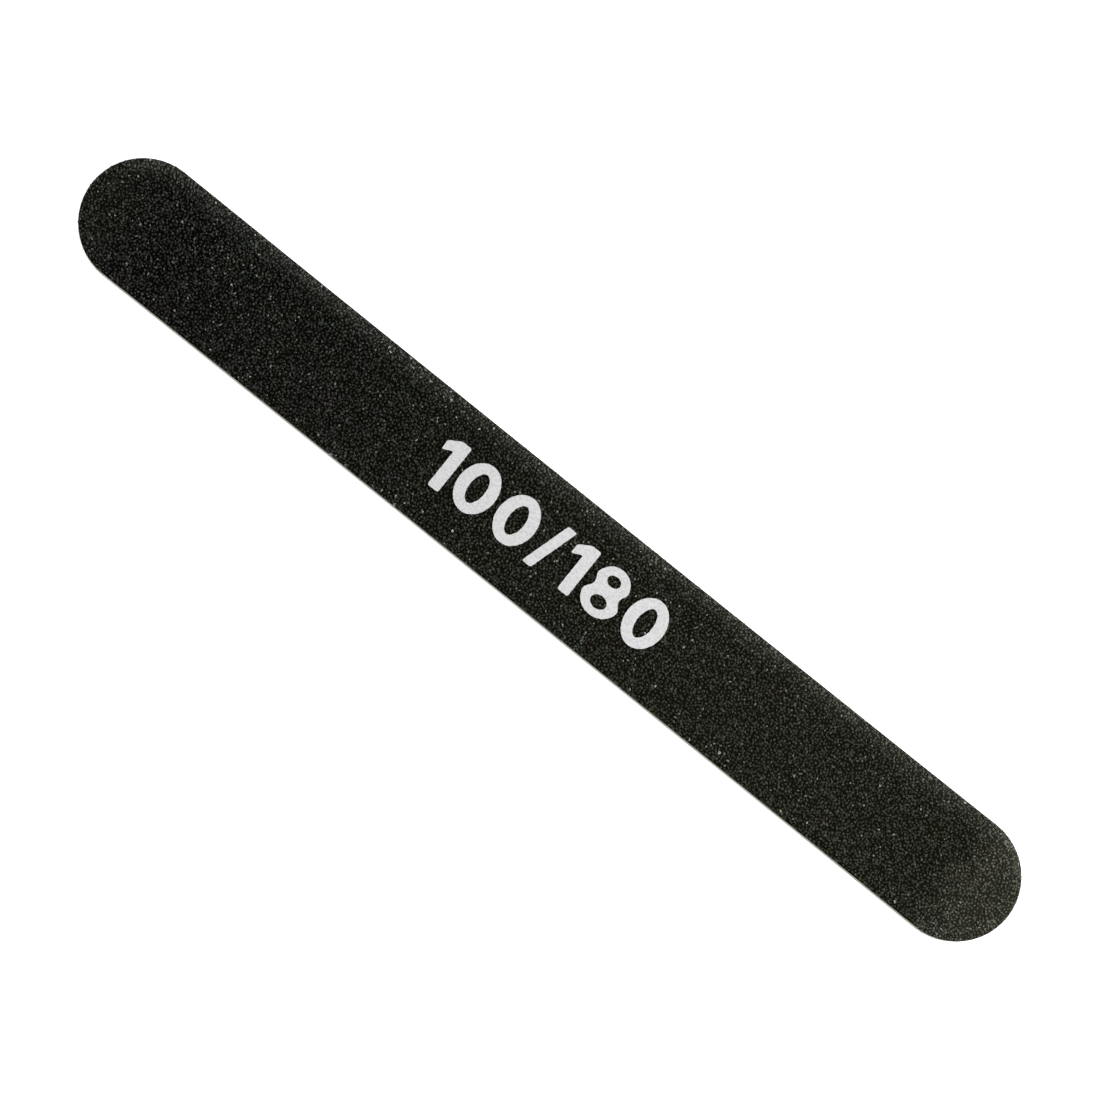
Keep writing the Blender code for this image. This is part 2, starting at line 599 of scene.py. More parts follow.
MEAN_DEPTH = 1.16  # mean brightness of the grains over that of a middling one
RESIN_CONTRAST = 20.0  # brightness of the palest grit dust over that of the deepest
RESIN_SPECK = 0.11 * MM
CREASE_PLACE = 11.95 * MM  # past mid-length, on the middle line
CREASE_SLANT = 0.05
CREASE_COLOUR = (0.15, 0.20, 0.17, 1.0)
FOAM_STAIN = (0.66, 0.58, 0.43, 1.0)
PAPER_DUST = (0.012, 0.012, 0.010, 1.0)
ADHESIVE_DUST = (0.05, 0.045, 0.035, 1.0)
FOAM_DUST = (0.03, 0.03, 0.025, 1.0)
CORE_DUST = (0.05, 0.05, 0.045, 1.0)
BUMP_DEPTH = 0.03 * MM
COARSE_BUMP_DEPTH = 0.05 * MM
STREAK_RISE = 0.12  # width of a streak over its height
FIBRE_RISE = 9.0  # the same of a torn fibre, which lies along the sheet
SMALL_BUBBLES = 2.3  # how many small bubbles lie across a large one


def grain_look(place, tone, body, contrast, bright, bright_share):
    """The outputs of the grain's colour group for a face's own colours."""
    inputs = {
        "Place": place,
        "Tone": tone,
        "Body": opaque(body),
        "Contrast": contrast,
        "Bright": opaque(bright),
        "Bright share": bright_share,
    }
    return group("Grain colour", build_grain_colour, inputs)


def lightened_and_sheened(place, colour_in, even_share, held_share, settings):
    """A grit colour with these shares of its face's even colour and of the colour that grains
    hold, the painted highlight along the far rim among them.
    """
    keys = ("haze", "left_tip", "right_tip", "far_rim")
    colours = {label(key): opaque(getattr(settings, key)) for key in keys}
    # The group gives the even and the held colour, the far rim's painted highlight among them
    dust = group("Grit dust", build_lightening_and_sheen, {"Place": place, **colours})
    even = scaled(dust["Even"], even_share)
    held = scaled(dust["Held"], held_share)
    return vector_maths("ADD", colour_in, vector_maths("ADD", even, held))


def crease_mask(place):
    """A hair-thin line across the board, broken where the grain hides it."""
    axes = axes_of(place)
    drift = clouds(place, 2.0 * MM, 2.0)["Fac"]
    offset = ramp(drift, 0.3, 0.7, -0.25 * MM, 0.25 * MM, smooth=False)
    upright = maths("MULTIPLY_ADD", axes["Y"], CREASE_SLANT, axes["X"])
    past = maths("SUBTRACT", maths("ADD", upright, offset), CREASE_PLACE)
    line = ramp(maths("ABSOLUTE", past), 0.18 * MM, 0.05 * MM)
    gaps = ramp(drift, 0.36, 0.56, 0.35, 0.90)
    return maths("MULTIPLY", line, gaps)


def grit_finish(name, settings, creased):
    """Black mineral grain, with a hair-thin crease across it if asked."""
    material, place = new_material(name)
    kept = add("ShaderNodeAttribute", tree=material.node_tree, attribute_name="tone")
    colours = (settings.body, settings.contrast, settings.bright, settings.bright_share)
    grain = grain_look(place, kept.outputs["Fac"], *colours)
    # Towards the right the tones are evened out towards those of a middling grain
    rightward = maths("POWER", haze_depth(axes_of(place)["X"]), 2.0)
    veil = maths("MULTIPLY", rightward, settings.veil)
    middling = [MEAN_DEPTH * c for c in settings.body]
    veiled = blended(veil, grain["Color"], opaque(middling))
    # Adds the lightening at the tips and towards the right, and the painted highlight along the
    # far rim
    tint = lightened_and_sheened(place, veiled, 1.0, grain["Depth"], settings)
    if creased:
        tint = blended(crease_mask(place), tint, CREASE_COLOUR)
    return complete(material, tint, grain["Roughness"], specular=0.03)


def resin_finish(name, resin, face_settings):
    """Dark resin between the grains, crowded with grit dust that is too fine to stand out."""
    material, place = new_material(name)
    specks = cells(place, RESIN_SPECK)
    tone = first_channel(specks["Color"])
    grain = grain_look(place, tone, resin, RESIN_CONTRAST, resin, 0.0)
    held = maths("MULTIPLY", tone, 0.4)
    # Half the even colour and some held colour reach the resin, the far rim's painted highlight
    # among them
    tint = lightened_and_sheened(place, grain["Color"], 0.5, held, face_settings)
    bumps = (ramp(specks["Distance"], 0.7, 0.0), 1.0, COARSE_BUMP_DEPTH)
    return complete(material, tint, grain["Roughness"], specular=0.02, bumps=bumps)


def cut_marks(place, streak, speck, dust):
    """The marks on a cut edge: the width of a streak and of a speck, and the share of specks."""
    inputs = {"Place": place, "Streak": streak, "Dust size": speck, "Dust": dust}
    return group("Cut marks", build_cut_marks, inputs)


def paper_finish(settings):
    """Dark latex paper whose cut edge shows paler fibres."""
    material, place = new_material("backing paper")
    marks = cut_marks(place, 0.10 * MM, 0.12 * MM, 0.25)
    lie = vector_maths("MULTIPLY", place, (1.0, 1.0, FIBRE_RISE))
    fibres = clouds(lie, 0.25 * MM, 4.0)["Fac"]
    shown = ramp(fibres, 0.48, 0.68, 0.0, 0.8)
    tint = blended(shown, opaque(settings.paper), opaque(settings.fibre))
    tint = blended(marks["Dust"], tint, PAPER_DUST)
    rough = ramp(fibres, 0.3, 0.7, 0.95, 0.75)
    height = maths("ADD", fibres, marks["Streaks"])
    return complete(material, tint, rough, specular=0.2, bumps=(height, 0.6, BUMP_DEPTH))


def adhesive_finish(settings):
    """A thin amber film, smeared and dusty at its cut."""
    material, place = new_material("adhesive film")
    marks = cut_marks(place, 0.30 * MM, 0.16 * MM, 0.35)
    streaks = marks["Streaks"]
    dark = [0.62 * c for c in settings.adhesive]
    tint = blended(streaks, opaque(settings.adhesive), opaque(dark))
    tint = blended(marks["Dust"], tint, ADHESIVE_DUST)
    rough = ramp(streaks, 0.3, 0.7, 0.25, 0.5)
    return complete(material, tint, rough, bumps=(streaks, 0.5, BUMP_DEPTH))


def foam_finish(settings):
    """Cream closed-cell foam with shade painted inside its cut bubbles, where the wall is pitted,
    and specked with grit dust.
    """
    material, place = new_material("cushion foam")
    bubbles = cells(place, settings.cell)["Distance"]
    small = cells(place, settings.cell / SMALL_BUBBLES)["Distance"]
    marks = cut_marks(place, 0.4 * MM, 0.13 * MM, 0.16)
    # Painted shade: the middles of the bubble cells, which the wall tree sinks as pits, are
    # darkened
    shaded_pits = ramp(bubbles, 0.42, 0.12, 0.0, 0.75)
    tint = blended(shaded_pits, opaque(settings.tint), opaque(settings.shade))
    tint = blended(ramp(marks["Streaks"], 0.3, 0.7, 0.0, 0.22), tint, FOAM_STAIN)
    dust = maths("MULTIPLY", marks["Dust"], 0.8)
    tint = blended(dust, tint, FOAM_DUST)
    rough = ramp(small, 0.0, 0.6, 0.95, 0.8)
    return complete(material, tint, rough, specular=0.25, bumps=(small, 0.7, BUMP_DEPTH))


def core_finish(settings):
    """Off-white plastic with the die's streaks down its cut edge."""
    material, place = new_material("core plastic")
    marks = cut_marks(place, 0.09 * MM, 0.15 * MM, 0.12)
    streaks = marks["Streaks"]
    dull = [0.80 * c for c in settings.tint]
    tint = blended(ramp(streaks, 0.35, 0.7), opaque(settings.tint), opaque(dull))
    dust = maths("MULTIPLY", marks["Dust"], 0.7)
    tint = blended(dust, tint, CORE_DUST)
    rough = ramp(streaks, 0.3, 0.7, 0.32, 0.6)
    return complete(material, tint, rough, bumps=(streaks, 0.6, BUMP_DEPTH))


def ink_finish(settings):
    """Pale opaque ink, mottled where it lies over the grain."""
    material, place = new_material("pale ink")
    mottle = clouds(place, 0.30 * MM, 2.0)["Fac"]
    thin = [0.80 * c for c in settings.ink]
    tint = blended(ramp(mottle, 0.35, 0.72), opaque(settings.ink), opaque(thin))
    rough = ramp(mottle, 0.3, 0.7, 0.5, 0.75)
    bumps = (mottle, 0.6, COARSE_BUMP_DEPTH)
    return complete(material, tint, rough, specular=0.3, bumps=bumps)


def by_viewer(tree, for_board, for_camera):
    """One strength for the light that falls on the board, another for what the camera sees."""
    seen = tree.nodes.new("ShaderNodeLightPath").outputs["Is Camera Ray"]
    return ramp(seen, 0.0, 1.0, for_board, for_camera, smooth=False)


def floor_finish(settings):
    """A plain pale floor that glows like a light table and is clear when seen from below."""
    material, _ = new_material("plain floor")
    tree = material.node_tree
    below = tree.nodes.new("ShaderNodeNewGeometry").outputs["Backfacing"]
    others = {
        "Emission Color": WHITE,
        "Emission Strength": by_viewer(tree, settings.glow, settings.shine),
        "Alpha": maths("SUBTRACT", 1.0, below),
    }
    return complete(material, opaque(settings.floor), 0.8, specular=0.2, others=others)


# Geometry trees

CRYSTAL_KINDS = 10
CRYSTAL_SIDE = 1.15  # side of the block that a grain of unit radius is made from
CRYSTAL_KNOCK = 0.33  # how far its corners are knocked out of line
THINNEST, THICKEST = 0.7, 1.2  # how far a grain is drawn out along each of its axes
CROWD = 6.0  # points offered for each square of the spacing, which keeps only some of them
TONE_LEAN = 0.70  # how far a grain's tone leans away from its nearest neighbour's
TONE_SPREAD = 0.80  # what the leaning tone is spread by
WALL_TILT = 0.35  # most Z of the normal of a face on a cut wall
PLACE_SIZES = ("From", "To", "Lowest", "Highest", "Overhang")
GRAIN_SIZES = ("Spacing", "Smallest", "Largest", "Standing", "Uneven", "Facets", *PLACE_SIZES)
RANDOM_RANGES = {
    "FLOAT_VECTOR": ("Min", "Max"),
    "FLOAT": ("Min_001", "Max_001"),
    "INT": ("Min_002", "Max_002"),
}


def random_number(tree, kind, low, high, seed):
    """A Random Value node's result. kind is FLOAT, INT or FLOAT_VECTOR."""
    node = add("FunctionNodeRandomValue", tree=tree, data_type=kind)
    wanted = dict(zip((*RANDOM_RANGES[kind], "Seed"), (low, high, seed)))
    for socket in node.inputs:
        if socket.identifier in wanted:
            plug(socket, wanted[socket.identifier])
    return next(output for output in node.outputs if output.enabled)


def position(tree):
    """The place of each point."""
    return tree.nodes.new("GeometryNodeInputPosition").outputs[0]


def moved(geometry, **inputs):
    """A geometry with its points moved. Inputs are Offset or Position, and Selection."""
    return add("GeometryNodeSetPosition", {"Geometry": geometry, **inputs}).outputs[0]


def toned(geometry, tone, domain):
    """A geometry that keeps a tone with each point or face."""
    inputs = {"Geometry": geometry, "Name": "tone", "Value": tone}
    kind = "GeometryNodeStoreNamedAttribute"
    return add(kind, inputs, data_type="FLOAT", domain=domain).outputs[0]


def realized(geometry):
    """A geometry with its instances made real."""
    return add("GeometryNodeRealizeInstances", {0: geometry}).outputs[0]


def end_tree(tree, geometry, finish):
    """Gives the geometry its material and hands it on."""
    inputs = {"Geometry": geometry, "Material": finish}
    add("NodeGroupOutput", {0: add("GeometryNodeSetMaterial", inputs).outputs[0]})
    return tree


def crystal(tree, kind):
    """One blocky grain of about unit radius, whose eight corners are knocked out of line."""
    block = add("GeometryNodeMeshCube", {"Size": (CRYSTAL_SIDE,) * 3}, tree).outputs[0]
    least, most = (-CRYSTAL_KNOCK,) * 3, (CRYSTAL_KNOCK,) * 3
    knocked = moved(block, Offset=random_number(tree, "FLOAT_VECTOR", least, most, kind))
    return add("GeometryNodeConvexHull", {0: knocked}).outputs[0]


def build_grain_coat(name):
    """Scatters sharp grains over a skin, each with a random tone, between two places along X."""
    tree, given = new_tree(
        name,
        "GeometryNodeTree",
        {
            "Skin": GEOMETRY,
            **dict.fromkeys(GRAIN_SIZES, NUMBER),
            "Seed": "NodeSocketInt",
            "Finish": "NodeSocketMaterial",
        },
        {"Grains": GEOMETRY},
    )
    inputs = {
        "Mesh": given["Skin"],
        "Distance Min": given["Spacing"],
        "Density Max": maths("DIVIDE", CROWD, maths("POWER", given["Spacing"], 2.0)),
        "Seed": given["Seed"],
    }
    scatter = "GeometryNodeDistributePointsOnFaces"
    spread = add(scatter, inputs, distribute_method="POISSON").outputs
    # A grain's tone leans away from its nearest neighbour's, so the coat has no patches.
    nearest = tree.nodes.new("GeometryNodeIndexOfNearest").outputs["Index"]
    chance = random_number(tree, "FLOAT", -0.5, 0.5, 1)
    there = {"Index": nearest, "Value": chance}
    beside = add("GeometryNodeFieldAtIndex", there, data_type="FLOAT", domain="POINT")
    lean = maths("MULTIPLY_ADD", beside.outputs[0], -TONE_LEAN, chance)
    tone = maths("MULTIPLY_ADD", lean, TONE_SPREAD, 0.5, clamp=True)
    points = toned(spread["Points"], tone, "POINT")
    sway = maths("MULTIPLY", given["Uneven"], random_number(tree, "FLOAT", -1.0, 1.0, 2))
    rise = scaled(spread["Normal"], maths("ADD", given["Standing"], sway))
    points = moved(points, Offset=rise)
    x = axes_of(position(tree))["X"]
    after = maths("GREATER_THAN", x, given["From"])
    before = maths("LESS_THAN", x, given["To"])
    kinds = tree.nodes.new("GeometryNodeGeometryToInstance")
    for kind in range(CRYSTAL_KINDS):
        tree.links.new(crystal(tree, kind), kinds.inputs[0])
    radius = random_number(tree, "FLOAT", given["Smallest"], given["Largest"], 3)
    stretch = random_number(tree, "FLOAT_VECTOR", (THINNEST,) * 3, (THICKEST,) * 3, 4)
    inputs = {
        "Points": points,
        "Selection": maths("MULTIPLY", after, before),
        "Instance": kinds.outputs[0],
        "Pick Instance": True,
        "Instance Index": random_number(tree, "INT", 0, CRYSTAL_KINDS - 1, 5),
        "Rotation": random_number(tree, "FLOAT_VECTOR", (0.0,) * 3, (math.tau,) * 3, 6),
        "Scale": scaled(stretch, radius),
    }
    solid = realized(add("GeometryNodeInstanceOnPoints", inputs).outputs[0])
    # The die shears the grains that reach past the cut.
    place = position(tree)
    foot = add("GeometryNodeProximity", {0: given["Skin"]}, target_element="FACES")
    off = vector_maths("SUBTRACT", place, foot.outputs["Position"])
    sideways = vector_maths("MULTIPLY", off, (1.0, 1.0, 0.0))
    reach = add("ShaderNodeVectorMath", {0: sideways}, operation="LENGTH").outputs["Value"]
    kept = maths("MINIMUM", maths("DIVIDE", given["Overhang"], reach), 1.0)
    shorn = scaled(sideways, maths("SUBTRACT", 1.0, kept))
    # Points that stand too far out are worn flat.
    corner = axes_of(vector_maths("SUBTRACT", place, shorn))
    height = maths("MINIMUM", corner["Z"], given["Highest"])
    height = maths("MAXIMUM", height, given["Lowest"])
    worn = add("ShaderNodeCombineXYZ", {0: corner["X"], 1: corner["Y"], 2: height})
    solid = moved(solid, Position=worn.outputs[0])
    # A facet's tone is its grain's, shifted by chance.
    kept_tone = {"Name": "tone"}
    own = add("GeometryNodeInputNamedAttribute", kept_tone, tree, data_type="FLOAT").outputs[0]
    shift = maths("SUBTRACT", random_number(tree, "FLOAT", 0.0, 1.0, 7), own)
    solid = toned(solid, maths("MULTIPLY_ADD", shift, given["Facets"], own), "FACE")
    return end_tree(tree, solid, given["Finish"])


def build_cut_wall(name):
    """Roughens the upright faces of a solid: round pits, or marks drawn out along the cut."""
    tree, given = new_tree(
        name,
        "GeometryNodeTree",
        {
            "Solid": GEOMETRY,
            "Pit width": NUMBER,
            "Pit depth": NUMBER,
            "Drawn out": NUMBER,
            "Finish": "NodeSocketMaterial",
        },
        {"Solid": GEOMETRY},
    )
    normal = tree.nodes.new("GeometryNodeInputNormal").outputs[0]
    upright = add("ShaderNodeCombineXYZ", {0: 1.0, 1: 1.0, 2: given["Drawn out"]})
    drawn = vector_maths("MULTIPLY", position(tree), upright.outputs[0])
    pit = ramp(cells(drawn, given["Pit width"])["Distance"], 0.55, 0.10)
    facing = maths("ABSOLUTE", axes_of(normal)["Z"])
    inward = maths("MULTIPLY", maths("MULTIPLY", pit, given["Pit depth"]), -1.0)
    walls = maths("LESS_THAN", facing, WALL_TILT)
    pitted = moved(given["Solid"], Selection=walls, Offset=scaled(normal, inward))
    return end_tree(tree, realized(pitted), given["Finish"])


# Making pieces

END_STEPS = 24  # least faces round an end of the board
SIDE_STEPS = 8  # least faces along a side
WALL_ROWS = 4  # least rows of faces up a cushion's wall
ROLL_STEPS = 6
FOAM_PITCH = 1.3  # width of a face of a cushion's wall over the height of a row
CORE_MARK = 0.3 * MM  # width of the marks that the die leaves on the core
CORE_MARK_RISE = 0.2  # its width over its height


def new_object(name, data):
    """An object in the scene's own collection."""
    made = bpy.data.objects.new(name, data)
    bpy.context.scene.collection.objects.link(made)
    return made


def modelled(name, shape):
    """An object of what was modelled, which is then freed."""
    mesh = bpy.data.meshes.new(name)
    shape.to_mesh(mesh)
    shape.free()
    return new_object(name, mesh)


def smoothed(piece):
    """Shades a piece smooth but for its sharp edges."""
    piece.data.shade_smooth()
    piece.data.set_sharp_from_angle(angle=SHARP_ANGLE)
    return piece


def mesh_of(thing):
    """A new mesh of an object as its modifiers and curves shape it."""
    graph = bpy.context.evaluated_depsgraph_get()
    return bpy.data.meshes.new_from_object(thing.evaluated_get(graph))


def grown(source, name, tree, values):
    """A plain mesh object of what a geometry tree makes of the source."""
    modifier = source.modifiers.new("Growth", "NODES")
    modifier.node_group = tree
    sockets = {
        item.name: item.identifier
        for item in tree.interface.items_tree
        if item.item_type == "SOCKET" and item.in_out == "INPUT"
    }
    for socket_name, value in values.items():
        modifier[sockets[socket_name]] = value
    mesh = mesh_of(source)
    mesh.name = name
    source.modifiers.remove(modifier)
    if not mesh.polygons:
        raise RuntimeError(f"{name} came out empty")
    return new_object(name, mesh)


def discard(thing):
    """Removes a helper and its mesh."""
    mesh = thing.data
    bpy.data.objects.remove(thing, do_unlink=True)
    bpy.data.meshes.remove(mesh)


def join_board(piece, node):
    """The piece becomes part of the board, in place of this packed layer."""
    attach(piece, BODY)
    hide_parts(node)


def finish_node(node, material):
    """Gives a packed layer its finish."""
    NODES[node].data.materials.clear()
    NODES[node].data.materials.append(material)


def outer_skin(node, facing, rim):
    """The outer face of a packed layer, less a rim of this width, as a helper object."""
    shape = bmesh.new()
    shape.from_mesh(NODES[node].data)
    bmesh.ops.remove_doubles(shape, verts=shape.verts, dist=WELD)
    shape.normal_update()
    hidden = [face for face in shape.faces if face.normal.z * facing < LEAST_RISE]
    bmesh.ops.delete(shape, geom=hidden, context="FACES")
    margin = bmesh.ops.inset_region(shape, faces=shape.faces[:], thickness=rim, use_boundary=True)
    bmesh.ops.delete(shape, geom=margin["faces"], context="FACES")
    return modelled("skin", shape)


def lay_grit(settings, kind, side, facing, material):
    """Covers one face of the board with loose grain, in several lengths."""
    skin = outer_skin(f"{side}_resin_coat", facing, settings.rim)
    keys = ("spacing", "smallest", "largest", "standing", "uneven", "facets", "seed")
    values = {label(key): getattr(settings, key) for key in keys}
    values["Lowest"] = CAD_BOX[0].z - settings.crest
    values["Highest"] = CAD_BOX[1].z + settings.crest
    values["Overhang"] = settings.rim + settings.overhang
    values["Finish"] = material
    last = settings.pieces - 1
    for number in range(settings.pieces):
        start, end = (
            -HALF_LENGTH + 2 * HALF_LENGTH * edge / settings.pieces
            for edge in (number, number + 1)
        )
        values["From"] = start if number else start - 1.0
        values["To"] = end if number < last else end + 1.0
        coat = shared("Grain coat", build_grain_coat)
        grains = grown(skin, f"{kind}_grain_{number + 1}", coat, values)
        join_board(grains, f"{side}_grit_coat")
    discard(skin)


def outline(inset, pitch):
    """Points round the board, this far in from its edge and about this far apart."""
    radius = END_RADIUS - inset
    end_centre = HALF_LENGTH - END_RADIUS
    end_steps = max(END_STEPS, round(math.pi * END_RADIUS / pitch))
    side_steps = max(SIDE_STEPS, round(2 * end_centre / pitch))
    points = []
    for turn in (1, -1):
        for step in range(end_steps):
            angle = math.pi * (step / end_steps - 0.5)
            x = end_centre + radius * math.cos(angle)
            points.append((turn * x, turn * radius * math.sin(angle)))
        for step in range(side_steps):
            along = 1 - 2 * step / side_steps
            y = radius - WAIST_DEPTH * (1 - along**2)
            points.append((turn * end_centre * along, turn * y))
    return points


def swept_solid(rings, pitch):
    """A closed solid through these rings, each (inset, height), from the lowest to the highest."""
    shape = bmesh.new()
    loops = [
        [shape.verts.new((x, y, height)) for x, y in outline(inset, pitch)]
        for inset, height in rings
    ]
    around = len(loops[0])
    for lower, upper in zip(loops, loops[1:]):
        for here in range(around):
            there = (here + 1) % around
            shape.faces.new((lower[here], lower[there], upper[there], upper[here]))
    shape.faces.new(reversed(loops[0]))
    shape.faces.new(loops[-1])
    return smoothed(modelled("blank", shape))


def cut_solid(name, rings, pitch, values):
    """A swept solid whose walls show how they were cut."""
    blank = swept_solid(rings, pitch)
    piece = grown(blank, name, shared("Cut wall", build_cut_wall), values)
    discard(blank)
    return piece


def cushion_rings(node, facing, draw, row):
    """The rings of a cushion from its flat seat, up its drawn-in wall and over its rolled rim."""
    low, high = cut_edge(node)
    box_low, box_high = (corner.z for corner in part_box(node))
    margin = flat_margin(node, facing)
    rows = max(WALL_ROWS, round((high - low) / row))
    wall = [
        (draw * 4 * step / rows * (1 - step / rows), low + (high - low) * step / rows)
        for step in range(rows + 1)
    ]
    crest, edge = (box_high, high) if facing > 0 else (box_low, low)
    roll = [
        (margin * step / ROLL_STEPS, crest - (crest - edge) * (1 - step / ROLL_STEPS) ** 2)
        for step in range(1, ROLL_STEPS + 1)
    ]
    return wall + roll if facing > 0 else list(reversed(roll)) + wall


# The grade numbers. Each numeral is drawn one unit high about its own middle and gives its width.

ROUND = 4 / 3 * (math.sqrt(2) - 1)  # handle length of a quarter circle, for a radius of one
STROKE_SHARE = 0.225
CORNER_SHARE = 0.04
LETTER_GAP_SHARE = 0.115
RIPPLE_SIZE = 0.3 * MM
WAVER_SIZE = 0.5 * MM
WAVER_SEED = 1  # without a seed of its own, the waver would differ from run to run


def bezier_points(curve, total):
    """The points of a new closed outline."""
    spline = curve.splines.new("BEZIER")
    spline.bezier_points.add(total - 1)
    spline.use_cyclic_u = True
    return spline.bezier_points


def set_point(point, place, left, right):
    """Puts a point in place, with its two handles."""
    point.co = place
    point.handle_left_type = point.handle_right_type = "FREE"
    point.handle_left, point.handle_right = left, right


def add_oval(curve, x, y, half_wide, half_high):
    """A closed ellipse."""
    quarters = ((1, 0), (0, 1), (-1, 0), (0, -1))
    for point, (across, up) in zip(bezier_points(curve, 4), quarters):
        place = Vector((x + half_wide * across, y + half_high * up, 0))
        reach = Vector((-up * half_wide, across * half_high, 0)) * ROUND
        set_point(point, place, place - reach, place + reach)


def add_bends(curve, points):
    """A closed outline that bends smoothly through these points."""
    for point, (x, y) in zip(bezier_points(curve, len(points)), points):
        point.co = (x, y, 0)
        point.handle_left_type = point.handle_right_type = "AUTO"


def add_straights(curve, points):
    """A closed outline with straight sides and slightly eased corners."""
    made = bezier_points(curve, 2 * len(points))
    corners = [Vector((x, y, 0)) for x, y in points]
    for number, corner in enumerate(corners):
        back = (corners[number - 1] - corner).normalized() * CORNER_SHARE
        on = (corners[(number + 1) % len(corners)] - corner).normalized() * CORNER_SHARE
        ends = [(corner + reach * 1.1, corner + reach * (1 - ROUND)) for reach in (back, on)]
        (back_outer, back_inner), (on_outer, on_inner) = ends
        set_point(made[2 * number], corner + back, back_outer, back_inner)
        set_point(made[2 * number + 1], corner + on, on_inner, on_outer)


def draw_nought(curve, x):
    """An upright oval ring."""
    half = 0.375
    add_oval(curve, x + half, 0, half, 0.5)
    add_oval(curve, x + half, 0, half - STROKE_SHARE, 0.5 - 0.86 * STROKE_SHARE)
    return 2 * half


def draw_one(curve, x):
    """A bar with a slanting flag."""
    wide = 0.42
    stem = x + wide - STROKE_SHARE
    foot = [(stem, -0.5), (x + wide, -0.5), (x + wide, 0.5)]
    flag = [(stem + 0.02, 0.5), (x, 0.36), (x, 0.16), (stem, 0.26)]
    add_straights(curve, foot + flag)
    return wide


def draw_eight(curve, x):
    """Two bowls, the lower one wider."""
    half, upper, waist = 0.36, 0.32, 0.27
    right = [(0, 0.5), (upper, 0.25), (waist, 0.02), (half, -0.23), (0, -0.5)]
    left = [(-across, up) for across, up in reversed(right[1:-1])]
    add_bends(curve, [(x + half + across, up) for across, up in right + left])
    add_oval(curve, x + half, 0.235, upper - 0.19, 0.105)
    add_oval(curve, x + half, -0.225, half - 0.205, 0.125)
    return 2 * half


def draw_stroke(curve, x):
    """A slanting bar between two numbers."""
    wide, bar = 0.46, 0.19
    add_straights(curve, [(x, -0.5), (x + bar, -0.5), (x + wide, 0.5), (x + wide - bar, 0.5)])
    return wide


GRADE = (draw_one, draw_nought, draw_nought, draw_stroke, draw_one, draw_eight, draw_nought)


def flat_grade(settings):
    """The grade as flat faces of its real size, centred on the origin."""
    curve = bpy.data.curves.new("grade", "CURVE")
    curve.dimensions = "2D"
    curve.fill_mode = "BOTH"
    curve.resolution_u = 10
    x = 0
    for draw in GRADE:
        x += draw(curve, x) + LETTER_GAP_SHARE
    wide = x - LETTER_GAP_SHARE
    drawn = new_object("grade", curve)
    mesh = mesh_of(drawn)
    bpy.data.objects.remove(drawn, do_unlink=True)
    bpy.data.curves.remove(curve)
    shape = bmesh.new()
    shape.from_mesh(mesh)
    bpy.data.meshes.remove(mesh)
    stretch = Matrix.Diagonal((settings.span / wide, settings.height, 1, 1))
    centre = Matrix.Translation((-wide / 2, 0, 0))
    bmesh.ops.transform(shape, matrix=stretch @ centre, verts=shape.verts)
    bmesh.ops.remove_doubles(shape, verts=shape.verts, dist=WELD)
    hidden = [face for face in shape.faces if face.normal.z <= LEAST_RISE]
    bmesh.ops.delete(shape, geom=hidden, context="FACES")
    return shape


def cut_into_grid(shape, settings):
    """Cuts flat faces along both axes, so that they can follow the grain."""
    for axis, reach in ((0, settings.span / 2), (1, settings.height / 2)):
        cuts = int(reach / settings.grid)
        for step in range(-cuts, cuts + 1):
            point, normal = Vector(), Vector()
            point[axis] = step * settings.grid
            normal[axis] = 1
            bmesh.ops.bisect_plane(
                shape,
                geom=shape.verts[:] + shape.edges[:] + shape.faces[:],
                plane_co=point,
                plane_no=normal,
                dist=WELD / 2,
            )


def ink_film(settings, low, high):
    """The grade as a thin film, whose top follows the grain a little."""
    shape = flat_grade(settings)
    cut_into_grid(shape, settings)
    noise.seed_set(WAVER_SEED)
    for corner in shape.verts:
        corner.co.z = high + settings.ripple * noise.noise(corner.co / RIPPLE_SIZE)
        corner.co.xy += settings.waver * noise.noise_vector(corner.co / WAVER_SIZE).xy
    made = bmesh.ops.extrude_face_region(shape, geom=shape.faces[:])
    for item in made["geom"]:
        if isinstance(item, bmesh.types.BMVert):
            item.co.z = low
    bmesh.ops.recalc_face_normals(shape, faces=shape.faces)
    place = Vector((settings.along, settings.across, 0))
    bmesh.ops.translate(shape, vec=place, verts=shape.verts)
    return smoothed(modelled("grade_print", shape))


# Stage

SENSOR_WIDTH = 36.0
FLOOR_SIDE = 6.0
FLOOR_DROP = 0.03 * MM  # keeps it clear of the lowest grains
KEY_SIDE = 0.22
KEY_PLACE = (0.36, 0.28, 0.48)
FILL_SPREAD = math.radians(60)
FILL_PLACE = (-0.15, 0.10, 1.0)


def place_camera(scene, settings):
    """Looks down on the board as the photograph does, a little from its nearer long side."""
    camera = bpy.data.cameras.new("Camera")
    scene.camera = new_object("Camera", camera)
    lean, slope = settings.lean, BOARD_SLOPE
    back = Vector((0, -math.sin(lean), math.cos(lean)))
    along = Vector((1, 0, 0))
    away = Vector((0, math.cos(lean), math.sin(lean)))
    right = math.cos(slope) * along + math.sin(slope) * away
    up = -math.sin(slope) * along + math.cos(slope) * away
    pixel = 2 * HALF_LENGTH / BOARD_LENGTH_PX
    target = Vector((0, 0, BOARD_HEIGHT))
    target -= right * (BOARD_MIDDLE_PX[0] - PHOTO_SIDE_PX / 2) * pixel
    target += up * (BOARD_MIDDLE_PX[1] - PHOTO_SIDE_PX / 2) * pixel
    turn = Matrix((right, up, back)).transposed().to_4x4()
    scene.camera.matrix_world = Matrix.Translation(target + back * settings.distance) @ turn
    camera.sensor_width = SENSOR_WIDTH
    camera.lens = camera.sensor_width * settings.distance / (PHOTO_SIDE_PX * pixel)
    camera.clip_start = 0.01
    camera.clip_end = 20.0


